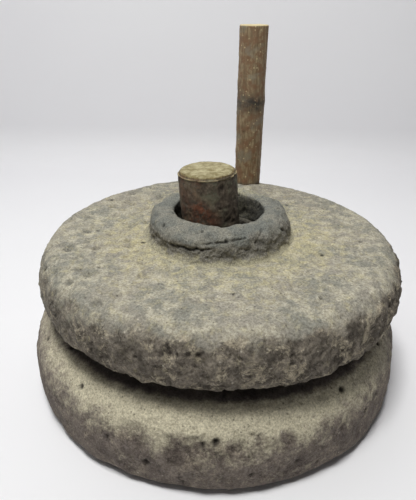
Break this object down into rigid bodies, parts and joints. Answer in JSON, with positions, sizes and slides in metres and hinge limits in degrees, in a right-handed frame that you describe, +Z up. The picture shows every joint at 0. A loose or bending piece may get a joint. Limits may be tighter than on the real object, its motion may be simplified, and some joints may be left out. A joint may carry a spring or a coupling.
{
  "type": "rotary hand quern",
  "caption": "Hand mill: a round runner stone with a clay-collared eye and an upright stick handle turns on a bedstone about a bark-covered centre peg.",
  "frame": {"origin": "centre of the bedstone's underside, on the floor", "axes": "+Z up along the runner's turning axis; -Y towards the front of the mill; the handle stands near the rim on the +Y side; +X to the right seen from the front"},
  "size_m": [0.37, 0.37, 0.3226],
  "materials": {
    "lower_stone": "matte",
    "upper_stone": "matte",
    "collar_clay": "matte",
    "bark_peg": "matte",
    "split_wood": "matte",
    "handle_wood": "matte"
  },
  "bodies": {
    "base": {"bedstone": "lower_stone", "pivot_peg": "bark_peg", "peg_wedge_1": "split_wood", "peg_wedge_2": "split_wood", "peg_wedge_3": "split_wood"},
    "rynd": {"rynd": "split_wood"},
    "runner": {"runner_stone": "upper_stone", "eye_collar": "collar_clay"},
    "handle": {"handle": "handle_wood"}
  },
  "joints": [
    {"name": "runner_spin", "type": "hinge", "parent": "base", "child": "rynd", "pos_m": [0, 0, 0.0805], "axis": [0, 0, 1], "continuous": true},
    {"name": "runner_lift", "type": "slide", "parent": "rynd", "child": "runner", "axis": [0, 0, 1], "range_m": [0, 0.135]},
    {"name": "handle_turn", "type": "hinge", "parent": "runner", "child": "handle", "pos_m": [0.0363, 0.15, 0.142], "axis": [0, 0, 1], "continuous": true}
  ]
}
